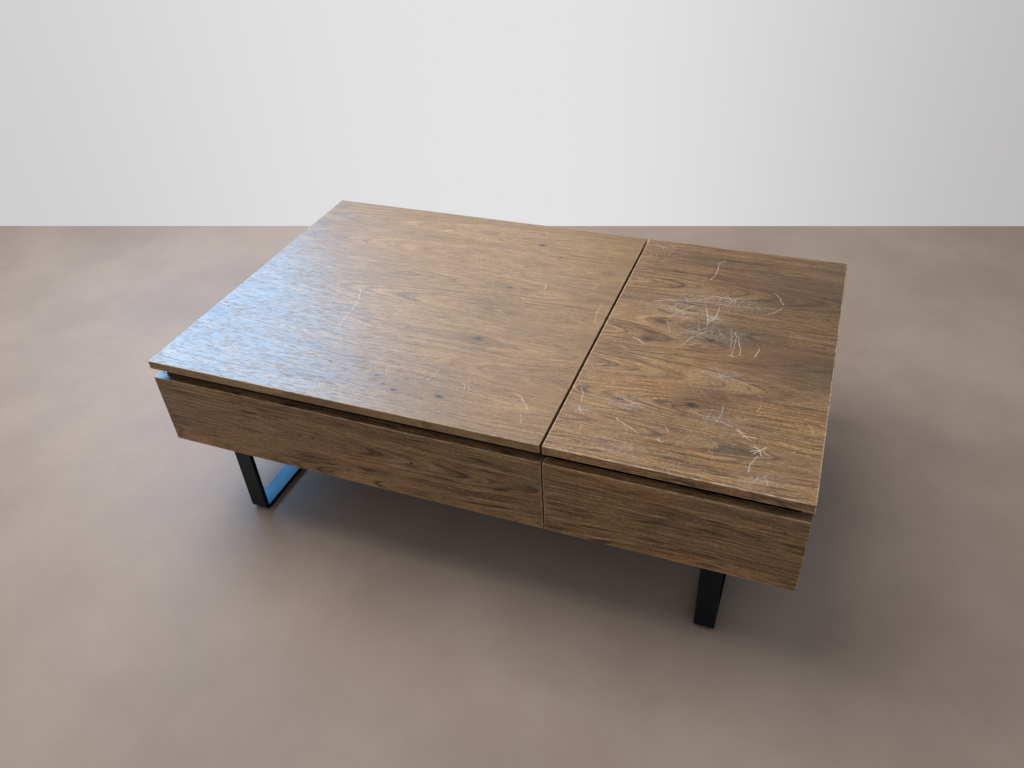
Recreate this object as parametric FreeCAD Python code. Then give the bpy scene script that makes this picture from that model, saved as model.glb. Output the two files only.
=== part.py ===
import FreeCAD, Part
import math
import os

# Lift top coffee table, in millimetres.
# X runs along the table, Y from the sitter's side (-) to the back (+), Z up from the floor.
# The origin is on the floor under the middle of the table.

# ---------------------------------------------------------------- driving dimensions

LENGTH = 1250.0
DEPTH = 748.0
HEIGHT = 394.0

BOARD = 18.0            # veneered board: tops, fronts, ends, back
WALL = 16.0             # plain board of the two boxes inside
REVEAL = 21.0           # shadow gap between the tops and the boards below them
FASCIA_HEIGHT = 161.0   # height of the fronts, ends and back
TOP_ARRIS = 1.4         # rounding of the top boards' edges
FRONT_ARRIS = 1.0       # rounding of the other veneered boards' edges

SEAM_X = 191.0          # middle of the seam between lifting half and drawer half
TOP_GAP = 5.0           # gap between the two tops
FRONT_GAP = 2.5         # gap between the apron and the drawer front
DRAWER_GAP = 2.0        # gap behind the drawer front, so that it closes without touching
PAD_THICKNESS = 2.5     # rubber pads that the closed lift top rests on
PAD_RADIUS = 6.0
REST_Y = 300.0          # pads and glides stand this far in front of and behind the middle

BAR_WIDTH = 38.0        # flat bar of the sled legs
BAR_THICKNESS = 10.0
BAR_BEND_OUTER = 14.0
BAR_BEND_INNER = 4.0
BAR_ARRIS = 0.8
LEG_END_INSET = 118.4   # from the table's end to the leg's outer edge
LEG_FRONT_INSET = 22.0  # from the table's front to the leg's front face
LEG_RAIL = 5.0          # thickness of the mounting rail welded on top of each leg
GLIDE = 2.0             # thickness of the plastic glides under the legs
GLIDE_WIDTH = 30.0
GLIDE_LENGTH = 40.0
LEG_SCREW_SPACING = 120.0
LEG_SCREW_COUNT = 6     # along each leg

ARM_LENGTH = 230.0      # between the two holes of a lift arm
ARM_WIDTH = 22.0
ARM_THICKNESS = 4.0
ARM_CLOSED_ANGLE = 8.0  # above horizontal, pointing to the back
ARM_OPEN_TURN = 117.0   # turn from closed to open
REAR_PIVOT_Y = -48.0
REAR_PIVOT_Z = 275.0
FRONT_PIVOT_AHEAD = 85.0
FRONT_PIVOT_ABOVE = 20.0
PLATE = 3.0             # sheet of the hinge bases and top brackets
PIN_RADIUS = 4.0
SYNC_BAR_RADIUS = 8.0
SYNC_BAR_WALL = 1.5
HUB_LENGTH = 24.0       # tube on the rear arm that carries the spring
HUB_RADIUS = 8.0
HUB_FLANGE = 2.0
SPRING_WIRE = 1.25      # radius of the spring's wire
SPRING_TURNS = 7
SPRING_PITCH = 2.65
SPRING_PLAY = 0.5       # clearance between spring and hub, and between spring and arm
STOP_RADIUS = 4.0       # pin that the open front arm rests on
STOP_DISTANCE = 38.0
BASE_FLANGE = 18.0      # flange of the hinge base, under the spring
BASE_BELOW = 28.0       # reach of the hinge base below, above, ahead of and behind the rear pivot
BASE_ABOVE = 56.0
BASE_AHEAD = 140.0
BASE_BEHIND = 28.0
BASE_CORNER = 8.0
BASE_SCREW_INSET = 12.0
BASE_SCREW_ABOVE_FLANGE = 14.0
BASE_FLANGE_AHEAD = 20.0    # the flange stops short of the plate's front and back ends
BASE_FLANGE_BEHIND = 4.0
BRACKET_OVERHANG = 15.0     # of the top bracket past the upper pivots
BRACKET_DROP = 14.0         # of the top bracket's web below the upper pivots
BRACKET_CORNER = 6.0
BRACKET_FLANGE = 22.0
BRACKET_SCREW_SHARES = (0.12, 0.5, 0.88)
LOWER_HEAD_RADIUS = 7.0     # heads of the pins in the hinge base
LOWER_HEAD = 2.0
UPPER_HEAD_RADIUS = 6.5     # heads of the rivets in the top bracket
UPPER_HEAD = 1.5
ARM_LAYER = 5.5             # from the box's wall to the arms' outer faces
BRACKET_LAYER = 11.0        # from the box's wall to the top bracket's outer face

DRAWER_BOARD = 14.0
DRAWER_BOX_DEPTH = 560.0
DRAWER_BOX_BOTTOM = 222.0
DRAWER_BOX_TOP = 332.0
DRAWER_FLOOR = 6.0
FRONT_SCREW_X = 130.0   # screws of the drawer front, from the drawer's middle
FRONT_SCREW_LEVELS = (252.0, 312.0)
FINGER_SPACE = 26.0     # behind the drawer front's upper edge
RAIL_HEIGHT = 38.0
RAIL_SCREW_X = 120.0    # screws up into the fixed top, from the cabinet's middle

SLIDE_LENGTH = 550.0
SLIDE_DEPTH = 12.7
SLIDE_HEIGHT = 45.0
SLIDE_SHEET = 1.2
SLIDE_MIDDLE_Z = 277.0
SLIDE_SETBACK = 6.0     # from the drawer front to the slides' ends
SLIDE_SCREW_SHARES = (0.08, 0.5, 0.92)
SLIDE_BALL_GAP = 2.5    # between the flanges of two members
SLIDE_OUTER_FLANGE = 9.5    # depths from the cabinet's wall
SLIDE_MIDDLE_WEB = 2.6
SLIDE_MIDDLE_FLANGE = 11.0
SLIDE_INNER_FLANGE = 5.5

FIXED_FIT = 0.02        # clearance of a pin in a hole that holds it
RUNNING_FIT = 0.05      # clearance of a pin in a hole that turns on it
OPEN_PIVOT_FIT = 0.3    # clearance at the pivot that closes the linkage
SCREW_FIT = 0.1         # clearance of a screw in its hole
FACE_FIT = 0.2          # gap between flat faces that slide past each other
TINY = 1e-6             # two measures closer than this are the same

# ---------------------------------------------------------------- levels and places

case_bottom = HEIGHT - BOARD - REVEAL - FASCIA_HEIGHT
fascia_top = case_bottom + FASCIA_HEIGHT
top_underside = HEIGHT - BOARD
floor_top = case_bottom + WALL
storage_wall_top = top_underside - PAD_THICKNESS

left_end = -LENGTH / 2
right_end = LENGTH / 2
front = -DEPTH / 2
back = DEPTH / 2
left_skin = left_end + BOARD
right_skin = right_end - BOARD
front_skin = front + BOARD
back_skin = back - BOARD

storage_left = left_skin + WALL
storage_right = SEAM_X - WALL
cabinet_left = SEAM_X + WALL
cabinet_right = right_skin - WALL
inside_front = front_skin + WALL
inside_back = back_skin - WALL
cabinet_front = front_skin + DRAWER_GAP
rail_front = front_skin + FINGER_SPACE

storage_middle = (storage_left + storage_right) / 2
cabinet_middle = (cabinet_left + cabinet_right) / 2

closed = math.radians(ARM_CLOSED_ANGLE)
rear_low = (REAR_PIVOT_Y, REAR_PIVOT_Z)
front_low = (REAR_PIVOT_Y - FRONT_PIVOT_AHEAD, REAR_PIVOT_Z + FRONT_PIVOT_ABOVE)
arm_step = (ARM_LENGTH * math.cos(closed), ARM_LENGTH * math.sin(closed))
rear_high = (rear_low[0] + arm_step[0], rear_low[1] + arm_step[1])
front_high = (front_low[0] + arm_step[0], front_low[1] + arm_step[1])

# Layers of the left mechanism, counted inwards from the storage box's left wall.
base_face = PLATE
arm_outer = ARM_LAYER
arm_inner = arm_outer + ARM_THICKNESS
bracket_outer = BRACKET_LAYER
bracket_inner = bracket_outer + PLATE
hub_end = arm_inner + HUB_LENGTH
spring_radius = HUB_RADIUS + SPRING_PLAY + SPRING_WIRE
spring_start = arm_inner + SPRING_PLAY + SPRING_WIRE

# Screw sizes: shank radius, length under the head, head radius, head height.
LEG_SCREW = (2.5, 17.0, 4.5, 2.4)
HINGE_SCREW = (2.0, 14.0, 3.8, 2.0)
SLIDE_SCREW = (1.75, 10.0, 3.0, 0.9)
FRONT_SCREW = (2.0, 26.0, 3.8, 2.0)
TOP_SCREW = (2.2, 50.0, 4.0, 2.2)

# The cross in a screw head, as shares of the head's radius and height.
RECESS_REACH = 0.62
RECESS_WIDTH = 0.26
RECESS_DEPTH = 0.60

CONNECTOR_RADIUS = 3.0
CONNECTOR_HEAD_RADIUS = 7.5
CONNECTOR_HEAD = 2.0
CONNECTOR_Y = 240.0         # bolts in front of and behind the middle
CONNECTOR_LEVELS = (240.0, 345.0)

# ---------------------------------------------------------------- shape helpers


def vector(x, y, z):
    return FreeCAD.Vector(x, y, z)


def board(x, y, z, arris=0.0):
    """A board that spans the three (low, high) pairs, with its edges rounded by arris."""
    solid = Part.makeBox(x[1] - x[0], y[1] - y[0], z[1] - z[0], vector(x[0], y[0], z[0]))
    if arris:
        solid = solid.makeFillet(arris, solid.Edges)
    return solid


def rod(start, direction, length, radius):
    return Part.makeCylinder(radius, length, vector(*start), vector(*direction))


def group(solids):
    return Part.makeCompound(solids)


def in_wall(depth):
    """X of a point that lies depth inwards from the storage box's left wall."""
    return storage_left + depth


def cross_rod(point, layers, radius):
    """A rod along X at a (y, z) point of the left mechanism, between two layers."""
    return rod((in_wall(layers[0]), *point), (1, 0, 0), layers[1] - layers[0], radius)


def cross_ring(point, layers, outer, inner):
    return cross_rod(point, layers, outer).cut(cross_rod(point, layers, inner))


def side_plate(outline, layers, corner):
    """A plate of the left mechanism with a (y, z) outline whose corners are rounded."""
    points = [vector(in_wall(layers[0]), y, z) for y, z in outline]
    face = Part.Face(Part.makePolygon(points + points[:1]))
    plate = face.extrude(vector(layers[1] - layers[0], 0, 0))
    corners = [edge for edge in plate.Edges if is_along_x(edge)]
    return plate.makeFillet(corner, corners)


def is_along_x(edge):
    start, end = (vertex.Point for vertex in edge.Vertexes)
    return abs(end.x - start.x) > TINY and abs(end.y - start.y) + abs(end.z - start.z) < TINY


def mirrored(shape, middle):
    return shape.mirror(vector(middle, 0, 0), vector(1, 0, 0))


def opposite(direction):
    return tuple(-value for value in direction)


def cross_recess(top, outwards, head_radius, head_height):
    """The driver's cross in a screw head whose outer face is at top."""
    reach = head_radius * RECESS_REACH
    width = head_radius * RECESS_WIDTH
    depth = head_height * RECESS_DEPTH
    one_bar = Part.makeBox(2 * reach, width, 2 * depth, vector(-reach, -width / 2, -depth))
    other_bar = Part.makeBox(width, 2 * reach, 2 * depth, vector(-width / 2, -reach, -depth))
    cross = one_bar.fuse(other_bar).removeSplitter()
    turn = FreeCAD.Rotation(vector(0, 0, 1), vector(*outwards))
    cross.Placement = FreeCAD.Placement(vector(*top), turn)
    return cross


def screw(start, direction, size):
    """A cross-head screw whose head's underside is at start."""
    shank_radius, length, head_radius, head_height = size
    outwards = opposite(direction)
    shank = rod(start, direction, length, shank_radius)
    head = rod(start, outwards, head_height, head_radius)
    top = [place + head_height * step for place, step in zip(start, outwards)]
    whole = shank.fuse(head).removeSplitter()
    return whole.cut(cross_recess(top, outwards, head_radius, head_height))


def screws(starts, direction, size):
    return [screw(start, direction, size) for start in starts]


def drilled(solid, starts, direction, size):
    """The solid with a clearance hole for the shank of each screw."""
    for start in starts:
        solid = solid.cut(rod(start, direction, size[1] + SCREW_FIT, size[0] + SCREW_FIT))
    return solid


# ---------------------------------------------------------------- places of the screws

rail_height = case_bottom - LEG_RAIL
leg_middles = [side * (LENGTH / 2 - LEG_END_INSET - BAR_WIDTH / 2) for side in (-1, 1)]
leg_screw_ys = [
    LEG_SCREW_SPACING * (number - (LEG_SCREW_COUNT - 1) / 2) for number in range(LEG_SCREW_COUNT)]
leg_screw_starts = [(x, y, rail_height) for x in leg_middles for y in leg_screw_ys]

connector_places = [(y, z) for y in (-CONNECTOR_Y, CONNECTOR_Y) for z in CONNECTOR_LEVELS]

base_low = REAR_PIVOT_Z - BASE_BELOW
base_high = REAR_PIVOT_Z + BASE_ABOVE
base_front = REAR_PIVOT_Y - BASE_AHEAD
base_back = REAR_PIVOT_Y + BASE_BEHIND
base_screw_places = [
    (y, z)
    for y in (base_front + BASE_SCREW_INSET, base_back - BASE_SCREW_INSET)
    for z in (base_low + BASE_SCREW_ABOVE_FLANGE, base_high - BASE_SCREW_INSET)
]
base_screw_starts = [(in_wall(base_face), *place) for place in base_screw_places]

bracket_front = front_high[0] - BRACKET_OVERHANG
bracket_back = rear_high[0] + BRACKET_OVERHANG
bracket_screw_x = in_wall(bracket_inner + BRACKET_FLANGE / 2)
bracket_screw_starts = [
    (bracket_screw_x, bracket_front + (bracket_back - bracket_front) * share, top_underside - PLATE)
    for share in BRACKET_SCREW_SHARES
]

slide_front = front_skin + SLIDE_SETBACK
slide_back = slide_front + SLIDE_LENGTH
slide_screw_ys = [slide_front + SLIDE_LENGTH * share for share in SLIDE_SCREW_SHARES]

drawer_left = cabinet_left + SLIDE_DEPTH
drawer_right = cabinet_right - SLIDE_DEPTH
drawer_back_face = front_skin + DRAWER_BOX_DEPTH
drawer_inside_front = front_skin + DRAWER_BOARD
drawer_inside_left = drawer_left + DRAWER_BOARD
drawer_inside_right = drawer_right - DRAWER_BOARD
front_screw_starts = [
    (cabinet_middle + x, drawer_inside_front, z)
    for x in (-FRONT_SCREW_X, FRONT_SCREW_X)
    for z in FRONT_SCREW_LEVELS
]

rail_back = rail_front + WALL
fixed_top_screw_starts = [
    (cabinet_middle + x, (rail_front + rail_back) / 2, top_underside - RAIL_HEIGHT)
    for x in (-RAIL_SCREW_X, RAIL_SCREW_X)
]

# ---------------------------------------------------------------- tops


def make_lift_top():
    top = board(
        (left_end, SEAM_X - TOP_GAP / 2), (front, back), (top_underside, HEIGHT), TOP_ARRIS)
    starts = bracket_screw_starts
    top = drilled(top, starts, (0, 0, 1), HINGE_SCREW)
    return drilled(top, mirrored_places(starts, storage_middle), (0, 0, 1), HINGE_SCREW)


def make_fixed_top():
    top = board(
        (SEAM_X + TOP_GAP / 2, right_end), (front, back), (top_underside, HEIGHT), TOP_ARRIS)
    return drilled(top, fixed_top_screw_starts, (0, 0, 1), TOP_SCREW)


def mirrored_places(starts, middle):
    return [(2 * middle - x, y, z) for x, y, z in starts]


# ---------------------------------------------------------------- veneered skin of the case


def skin_board(x, y):
    return board(x, y, (case_bottom, fascia_top), FRONT_ARRIS)


def make_front_apron():
    return skin_board((left_end, SEAM_X - FRONT_GAP / 2), (front, front_skin))


def make_drawer_front():
    panel = skin_board((SEAM_X + FRONT_GAP / 2, right_end), (front, front_skin))
    return drilled(panel, front_screw_starts, (0, -1, 0), FRONT_SCREW)


def make_end_panels():
    left = skin_board((left_end, left_skin), (front_skin, back))
    right = skin_board((right_skin, right_end), (cabinet_front, back))
    return left, right


def make_back_panel():
    return skin_board((left_skin, right_skin), (back_skin, back))


# ---------------------------------------------------------------- the two boxes inside


def make_box_floors():
    left_starts = [start for start in leg_screw_starts if start[0] < SEAM_X]
    right_starts = [start for start in leg_screw_starts if start[0] > SEAM_X]
    storage = board((left_skin, SEAM_X), (front_skin, back_skin), (case_bottom, floor_top))
    cabinet = board((SEAM_X, right_skin), (cabinet_front, back_skin), (case_bottom, floor_top))
    storage = drilled(storage, left_starts, (0, 0, 1), LEG_SCREW)
    cabinet = drilled(cabinet, right_starts, (0, 0, 1), LEG_SCREW)
    return storage, cabinet


def with_connector_holes(wall):
    for place in connector_places:
        wall = wall.cut(rod((storage_right, *place), (1, 0, 0), 2 * WALL, CONNECTOR_RADIUS + SCREW_FIT))
    return wall


def make_storage_walls():
    height = (floor_top, storage_wall_top)
    left = board((left_skin, storage_left), (front_skin, back_skin), height)
    left = drilled(left, base_screw_starts, (-1, 0, 0), HINGE_SCREW)
    right = board((storage_right, SEAM_X), (front_skin, back_skin), height)
    right = drilled(right, mirrored_places(base_screw_starts, storage_middle), (1, 0, 0), HINGE_SCREW)
    right = with_connector_holes(right)
    front_wall = board((storage_left, storage_right), (front_skin, inside_front), height)
    back_wall = board((storage_left, storage_right), (inside_back, back_skin), height)
    return left, right, front_wall, back_wall


def make_cabinet_walls():
    height = (floor_top, top_underside)
    left_starts = [(cabinet_left + SLIDE_SHEET, y, SLIDE_MIDDLE_Z) for y in slide_screw_ys]
    right_starts = mirrored_places(left_starts, cabinet_middle)
    left = board((SEAM_X, cabinet_left), (cabinet_front, back_skin), height)
    left = with_connector_holes(drilled(left, left_starts, (-1, 0, 0), SLIDE_SCREW))
    right = board((cabinet_right, right_skin), (cabinet_front, back_skin), height)
    right = drilled(right, right_starts, (1, 0, 0), SLIDE_SCREW)
    back_wall = board((cabinet_left, cabinet_right), (inside_back, back_skin), height)
    rail = board(
        (cabinet_left, cabinet_right), (rail_front, rail_back),
        (top_underside - RAIL_HEIGHT, top_underside))
    rail = drilled(rail, fixed_top_screw_starts, (0, 0, 1), TOP_SCREW)
    return left, right, back_wall, rail


def make_module_connectors():
    """Sleeve-nut bolts that clamp the two boxes side by side."""
    connectors = []
    for place in connector_places:
        shank = rod((storage_right, *place), (1, 0, 0), 2 * WALL, CONNECTOR_RADIUS)
        left_head = rod((storage_right, *place), (-1, 0, 0), CONNECTOR_HEAD, CONNECTOR_HEAD_RADIUS)
        right_head = rod((cabinet_left, *place), (1, 0, 0), CONNECTOR_HEAD, CONNECTOR_HEAD_RADIUS)
        connectors.append(shank.multiFuse([left_head, right_head]).removeSplitter())
    return group(connectors)


def make_bumper_pads():
    """Thin rubber pads on the storage box's walls, under the closed lift top."""
    places = [
        (x, y)
        for x in (storage_left - WALL / 2, storage_right + WALL / 2)
        for y in (-REST_Y, REST_Y)
    ]
    places += [(storage_middle, y) for y in (inside_front - WALL / 2, inside_back + WALL / 2)]
    return group([rod((*place, storage_wall_top), (0, 0, 1), PAD_THICKNESS, PAD_RADIUS) for place in places])


# ---------------------------------------------------------------- legs


def make_leg(middle):
    """A sled leg: flat bar bent to a U, standing across the table."""
    x = (middle - BAR_WIDTH / 2, middle + BAR_WIDTH / 2)
    y = (front + LEG_FRONT_INSET, back - LEG_FRONT_INSET)
    outside = bent_block(x, y, (GLIDE, rail_height), BAR_BEND_OUTER)
    inside_y = (y[0] + BAR_THICKNESS, y[1] - BAR_THICKNESS)
    inside = bent_block(x, inside_y, (GLIDE + BAR_THICKNESS, case_bottom), BAR_BEND_INNER)
    leg = outside.cut(inside)
    long_edges = [edge for edge in leg.Edges if is_flat_edge(edge, x)]
    return leg.makeFillet(BAR_ARRIS, long_edges)


def bent_block(x, y, z, radius):
    """A block whose two lower edges along X are rounded."""
    block = board(x, y, z)
    lower = [
        edge for edge in block.Edges
        if is_along_x(edge) and edge.CenterOfMass.z < z[0] + TINY
    ]
    return block.makeFillet(radius, lower)


def is_flat_edge(edge, x):
    """True for an edge that lies in one of the bar's two side faces."""
    xs = [vertex.Point.x for vertex in edge.Vertexes]
    on_side = min(abs(value - side) for side in x for value in xs) < TINY
    return on_side and max(xs) - min(xs) < TINY and not is_top_end(edge)


def is_top_end(edge):
    return all(vertex.Point.z > rail_height - TINY for vertex in edge.Vertexes)


def make_leg_rail(middle):
    x = (middle - BAR_WIDTH / 2, middle + BAR_WIDTH / 2)
    y = (front + LEG_FRONT_INSET, back - LEG_FRONT_INSET)
    rail = board(x, y, (rail_height, case_bottom))
    starts = [start for start in leg_screw_starts if x[0] < start[0] < x[1]]
    return drilled(rail, starts, (0, 0, 1), LEG_SCREW)


def make_leg_screws():
    return group(screws(leg_screw_starts, (0, 0, 1), LEG_SCREW))


def make_floor_glides():
    glides = []
    for x in leg_middles:
        for y in (-REST_Y, REST_Y):
            x_span = (x - GLIDE_WIDTH / 2, x + GLIDE_WIDTH / 2)
            y_span = (y - GLIDE_LENGTH / 2, y + GLIDE_LENGTH / 2)
            glides.append(board(x_span, y_span, (0.0, GLIDE)))
    return group(glides)


# ---------------------------------------------------------------- lift mechanism, left side


def stop_place():
    """Where the stop pin stands so that the open front arm comes to rest on it."""
    reach = (ARM_WIDTH / 2 + STOP_RADIUS + OPEN_PIVOT_FIT) / STOP_DISTANCE
    angle = math.radians(ARM_CLOSED_ANGLE + ARM_OPEN_TURN) + math.asin(reach)
    return (
        front_low[0] + STOP_DISTANCE * math.cos(angle),
        front_low[1] + STOP_DISTANCE * math.sin(angle))


def make_hinge_base():
    """Plate on the box's wall with both lower pivots and a flange for the spring's tail."""
    outline = [
        (base_front, base_low), (base_back, base_low),
        (base_back, base_high), (base_front, base_high)]
    plate = side_plate(outline, (0.0, PLATE), BASE_CORNER)
    flange = board(
        (in_wall(0.0), in_wall(BASE_FLANGE)),
        (base_front + BASE_FLANGE_AHEAD, base_back - BASE_FLANGE_BEHIND),
        (base_low, base_low + PLATE))
    base = plate.fuse(flange).removeSplitter()
    for place in (rear_low, front_low, stop_place()):
        base = base.cut(cross_rod(place, (0.0, PLATE), PIN_RADIUS + FIXED_FIT))
    return drilled(base, base_screw_starts, (-1, 0, 0), HINGE_SCREW)


def make_arm(low, high, high_fit):
    """A flat lift arm between two (y, z) pivots, with round ends."""
    layers = (arm_outer, arm_inner)
    run = (high[0] - low[0], high[1] - low[1])
    length = math.hypot(*run)
    across = (-run[1] / length * ARM_WIDTH / 2, run[0] / length * ARM_WIDTH / 2)
    corners = [
        (low[0] + across[0], low[1] + across[1]), (low[0] - across[0], low[1] - across[1]),
        (high[0] - across[0], high[1] - across[1]), (high[0] + across[0], high[1] + across[1])]
    points = [vector(in_wall(layers[0]), y, z) for y, z in corners]
    middle = Part.Face(Part.makePolygon(points + points[:1])).extrude(vector(ARM_THICKNESS, 0, 0))
    ends = [cross_rod(place, layers, ARM_WIDTH / 2) for place in (low, high)]
    arm = middle.multiFuse(ends).removeSplitter()
    arm = arm.cut(cross_rod(low, layers, PIN_RADIUS + RUNNING_FIT))
    return arm.cut(cross_rod(high, layers, PIN_RADIUS + high_fit))


def make_top_bracket():
    """Angle under the lift top with both upper pivots."""
    front_low_edge = front_high[1] - BRACKET_DROP
    rear_low_edge = rear_high[1] - BRACKET_DROP
    outline = [
        (bracket_front, top_underside), (bracket_front, front_low_edge),
        (front_high[0] + BRACKET_DROP, front_low_edge), (rear_high[0] - BRACKET_DROP, rear_low_edge),
        (bracket_back, rear_low_edge), (bracket_back, top_underside)]
    web = side_plate(outline, (bracket_outer, bracket_inner), BRACKET_CORNER)
    flange = board(
        (in_wall(bracket_outer), in_wall(bracket_inner + BRACKET_FLANGE)),
        (bracket_front, bracket_back), (top_underside - PLATE, top_underside))
    bracket = web.fuse(flange).removeSplitter()
    for place in (rear_high, front_high):
        bracket = bracket.cut(cross_rod(place, (bracket_outer, bracket_inner), PIN_RADIUS + FIXED_FIT))
    return drilled(bracket, bracket_screw_starts, (0, 0, 1), HINGE_SCREW)


def make_lower_pins():
    """Pins riveted into the base: a headed one for the front arm, a long one through the hub."""
    pins = []
    for place, covered in ((front_low, arm_inner), (rear_low, hub_end)):
        end = covered + FACE_FIT
        shank = cross_rod(place, (0.0, end), PIN_RADIUS)
        head = cross_rod(place, (end, end + LOWER_HEAD), LOWER_HEAD_RADIUS)
        pins.append(shank.fuse(head).removeSplitter())
    return pins


def make_upper_pins():
    """Rivets that hold the arms to the top bracket."""
    outer_head = (base_face + 3 * FACE_FIT, arm_outer - FACE_FIT)
    inner_head = (bracket_inner, bracket_inner + UPPER_HEAD)
    pins = []
    for place in (rear_high, front_high):
        shank = cross_rod(place, (outer_head[1], inner_head[0]), PIN_RADIUS)
        heads = [cross_rod(place, span, UPPER_HEAD_RADIUS) for span in (outer_head, inner_head)]
        pins.append(shank.multiFuse(heads).removeSplitter())
    return pins


def make_lower_spacers():
    span = (base_face, arm_outer - FACE_FIT)
    return [cross_ring(place, span, HUB_RADIUS, PIN_RADIUS + SCREW_FIT) for place in (rear_low, front_low)]


def make_upper_spacers():
    span = (arm_inner + FACE_FIT, bracket_outer)
    return [cross_ring(place, span, HUB_RADIUS, PIN_RADIUS + SCREW_FIT) for place in (rear_high, front_high)]


def make_arm_stop():
    return cross_rod(stop_place(), (0.0, arm_inner), STOP_RADIUS)


def make_spring_hub():
    """Tube welded to the rear arm, with a flange that keeps the spring on."""
    tube = cross_rod(rear_low, (arm_inner, hub_end), HUB_RADIUS)
    flange = cross_rod(rear_low, (hub_end - HUB_FLANGE, hub_end), spring_radius + SPRING_WIRE)
    bore = cross_rod(rear_low, (arm_inner, hub_end), PIN_RADIUS + RUNNING_FIT)
    return tube.fuse(flange).removeSplitter().cut(bore)


def make_torsion_spring():
    """Coil around the hub, with a straight tail that stands on the base's flange."""
    helix = Part.makeHelix(SPRING_PITCH, SPRING_PITCH * SPRING_TURNS, spring_radius)
    section = Part.Wire(Part.makeCircle(SPRING_WIRE, vector(spring_radius, 0, 0), vector(0, 1, 0)))
    coil = Part.Wire(helix.Edges).makePipeShell([section], True, True)
    tail_length = REAR_PIVOT_Z - base_low - PLATE
    tail = rod((spring_radius, -tail_length, 0), (0, 1, 0), tail_length, SPRING_WIRE)
    knee = Part.makeSphere(SPRING_WIRE, vector(spring_radius, 0, 0))
    spring = coil.multiFuse([tail, knee])
    # Turn the coil's own Z onto X, X onto Y and Y onto Z, then carry it to the rear pivot.
    turn = FreeCAD.Matrix()
    turn.A11, turn.A12, turn.A13 = 0, 0, 1
    turn.A21, turn.A22, turn.A23 = 1, 0, 0
    turn.A31, turn.A32, turn.A33 = 0, 1, 0
    spring = spring.transformed(turn)
    spring.translate(vector(in_wall(spring_start), *rear_low))
    return spring


def make_sync_bar():
    """Tube that ties the two rear arms together half way along them."""
    place = ((rear_low[0] + rear_high[0]) / 2, (rear_low[1] + rear_high[1]) / 2)
    length = storage_right - storage_left - 2 * arm_inner
    start = (in_wall(arm_inner), *place)
    outside = rod(start, (1, 0, 0), length, SYNC_BAR_RADIUS)
    return outside.cut(rod(start, (1, 0, 0), length, SYNC_BAR_RADIUS - SYNC_BAR_WALL))


# ---------------------------------------------------------------- drawer


def make_drawer_box():
    z = (DRAWER_BOX_BOTTOM, DRAWER_BOX_TOP)
    groove = DRAWER_FLOOR
    floor_z = (DRAWER_BOX_BOTTOM + groove, DRAWER_BOX_BOTTOM + groove + DRAWER_FLOOR)
    back_y = (drawer_back_face - DRAWER_BOARD, drawer_back_face)
    inner_x = (drawer_inside_left, drawer_inside_right)
    floor = board(
        (inner_x[0] - groove, inner_x[1] + groove),
        (drawer_inside_front - groove, back_y[0] + groove), floor_z)
    side_left = board((drawer_left, inner_x[0]), (front_skin, drawer_back_face), z)
    side_right = board((inner_x[1], drawer_right), (front_skin, drawer_back_face), z)
    inner_front = board(inner_x, (front_skin, drawer_inside_front), z)
    back_wall = board(inner_x, back_y, z)
    inner_starts = [(drawer_left - SLIDE_SHEET, y, SLIDE_MIDDLE_Z) for y in slide_screw_ys]
    side_left = drilled(side_left.cut(floor), inner_starts, (1, 0, 0), SLIDE_SCREW)
    right_starts = mirrored_places(inner_starts, cabinet_middle)
    side_right = drilled(side_right.cut(floor), right_starts, (-1, 0, 0), SLIDE_SCREW)
    inner_front = drilled(inner_front.cut(floor), front_screw_starts, (0, -1, 0), FRONT_SCREW)
    return {
        "drawer_side_left": side_left,
        "drawer_side_right": side_right,
        "drawer_inner_front": inner_front,
        "drawer_back": back_wall.cut(floor),
        "drawer_bottom": floor,
    }


def channel(web, flange_end, half_height):
    """A length of slide member: a web at one depth and two flanges towards flange_end.

    Depths count from the cabinet's left wall into the cabinet.
    """
    y = (slide_front, slide_back)
    inner_half = half_height - SLIDE_SHEET
    depth = sorted(web + (flange_end,))
    whole = board(
        (cabinet_left + depth[0], cabinet_left + depth[-1]), y,
        (SLIDE_MIDDLE_Z - half_height, SLIDE_MIDDLE_Z + half_height))
    opens_inwards = flange_end > web[1]
    hollow = (web[1], depth[-1]) if opens_inwards else (depth[0], web[0])
    return whole.cut(board(
        (cabinet_left + hollow[0], cabinet_left + hollow[1]), y,
        (SLIDE_MIDDLE_Z - inner_half, SLIDE_MIDDLE_Z + inner_half)))


def make_slides():
    """The three members of the left slide, from the cabinet's wall to the drawer's side."""
    half = SLIDE_HEIGHT / 2
    outer = channel((0.0, SLIDE_SHEET), SLIDE_OUTER_FLANGE, half)
    middle_half = half - SLIDE_SHEET - SLIDE_BALL_GAP
    middle = channel((SLIDE_MIDDLE_WEB, SLIDE_MIDDLE_WEB + SLIDE_SHEET), SLIDE_MIDDLE_FLANGE, middle_half)
    inner_half = middle_half - SLIDE_SHEET - SLIDE_BALL_GAP
    inner = channel((SLIDE_DEPTH - SLIDE_SHEET, SLIDE_DEPTH), SLIDE_INNER_FLANGE, inner_half)
    return outer, middle, inner


def make_slide_outer(outer):
    starts = [(cabinet_left + SLIDE_SHEET, y, SLIDE_MIDDLE_Z) for y in slide_screw_ys]
    return drilled(outer, starts, (-1, 0, 0), SLIDE_SCREW), screws(starts, (-1, 0, 0), SLIDE_SCREW)


def make_slide_inner(inner):
    starts = [(drawer_left - SLIDE_SHEET, y, SLIDE_MIDDLE_Z) for y in slide_screw_ys]
    return drilled(inner, starts, (1, 0, 0), SLIDE_SCREW), screws(starts, (1, 0, 0), SLIDE_SCREW)


# ---------------------------------------------------------------- assembly


def both_sides(name, shape, middle):
    """The node for the left side and its mirror image for the right side."""
    return {name + "_left": shape, name + "_right": mirrored(shape, middle)}


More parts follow.
